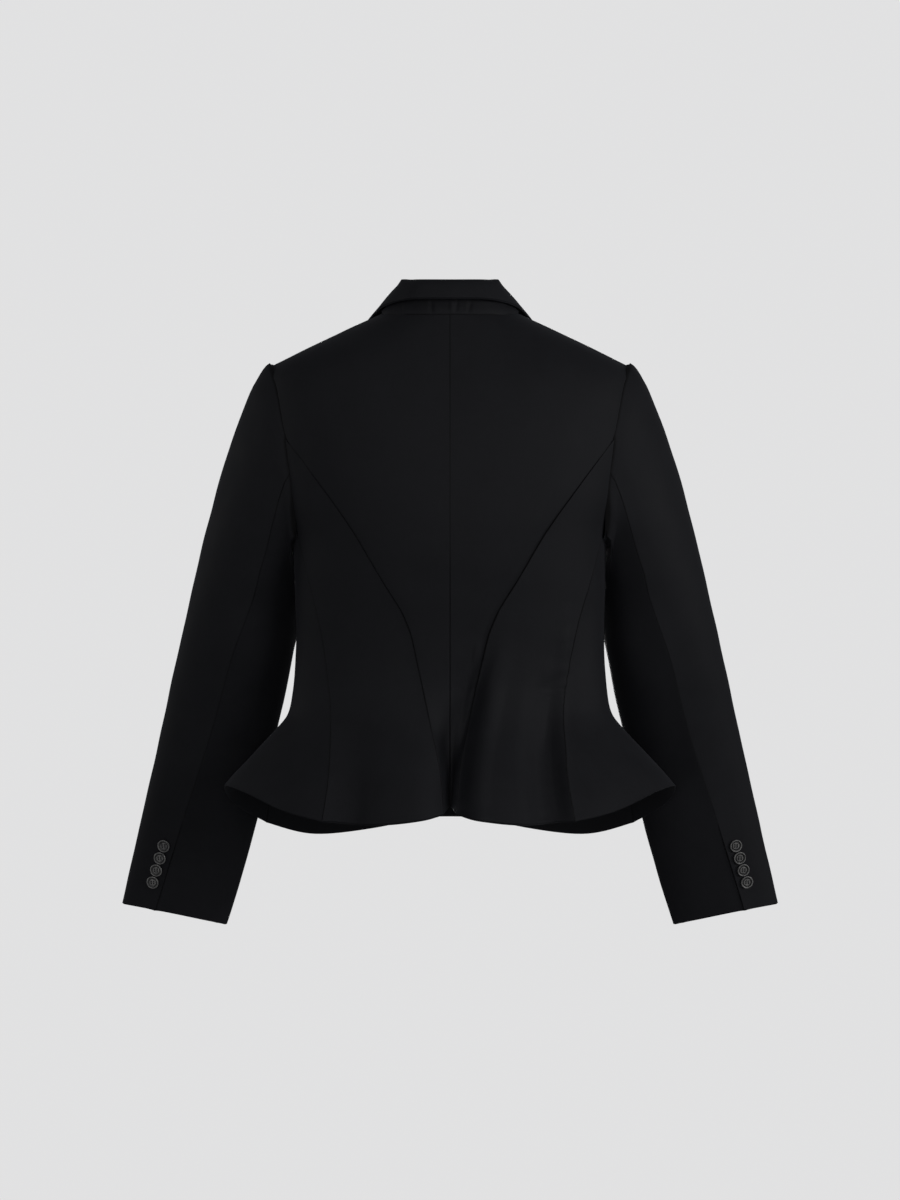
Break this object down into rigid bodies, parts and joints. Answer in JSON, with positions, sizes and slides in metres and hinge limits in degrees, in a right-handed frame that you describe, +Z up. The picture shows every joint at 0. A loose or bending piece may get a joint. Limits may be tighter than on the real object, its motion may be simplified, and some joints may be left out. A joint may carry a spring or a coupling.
{
  "type": "double-breasted jacket",
  "caption": "Fitted double-breasted jacket with peak lapels, two-piece sleeves with buttoned cuffs and a short fluted peplum, filled out and empty inside.",
  "frame": {"origin": "middle of the neck opening, at the height where the shoulder seams reach the neck, where the wearer's shoulders hold the jacket up", "axes": "+Z up, -Y out of the garment's back, +Y out of its front, +X to the wearer's right"},
  "size_m": [0.7478, 0.3153, 0.7177],
  "materials": {
    "cloth": "fine black wool suiting, matt with a faint sheen",
    "button": "dark grey moulded resin, satin"
  },
  "bodies": {
    "root": {"back_left": "cloth", "back_right": "cloth", "side_back_left": "cloth", "side_back_right": "cloth", "side_left": "cloth", "side_right": "cloth", "front_left": "cloth", "front_right": "cloth", "top_sleeve_left": "cloth", "top_sleeve_right": "cloth", "under_sleeve_left": "cloth", "under_sleeve_right": "cloth", "lapel_left": "cloth", "lapel_right": "cloth", "collar_stand": "cloth", "collar_fall": "cloth", "cuff_button_left_1": "button", "cuff_button_left_2": "button", "cuff_button_left_3": "button", "cuff_button_left_4": "button", "cuff_button_right_1": "button", "cuff_button_right_2": "button", "cuff_button_right_3": "button", "cuff_button_right_4": "button", "front_button_1": "button", "front_button_2": "button", "front_button_3": "button", "front_button_4": "button"}
  },
  "joints": []
}
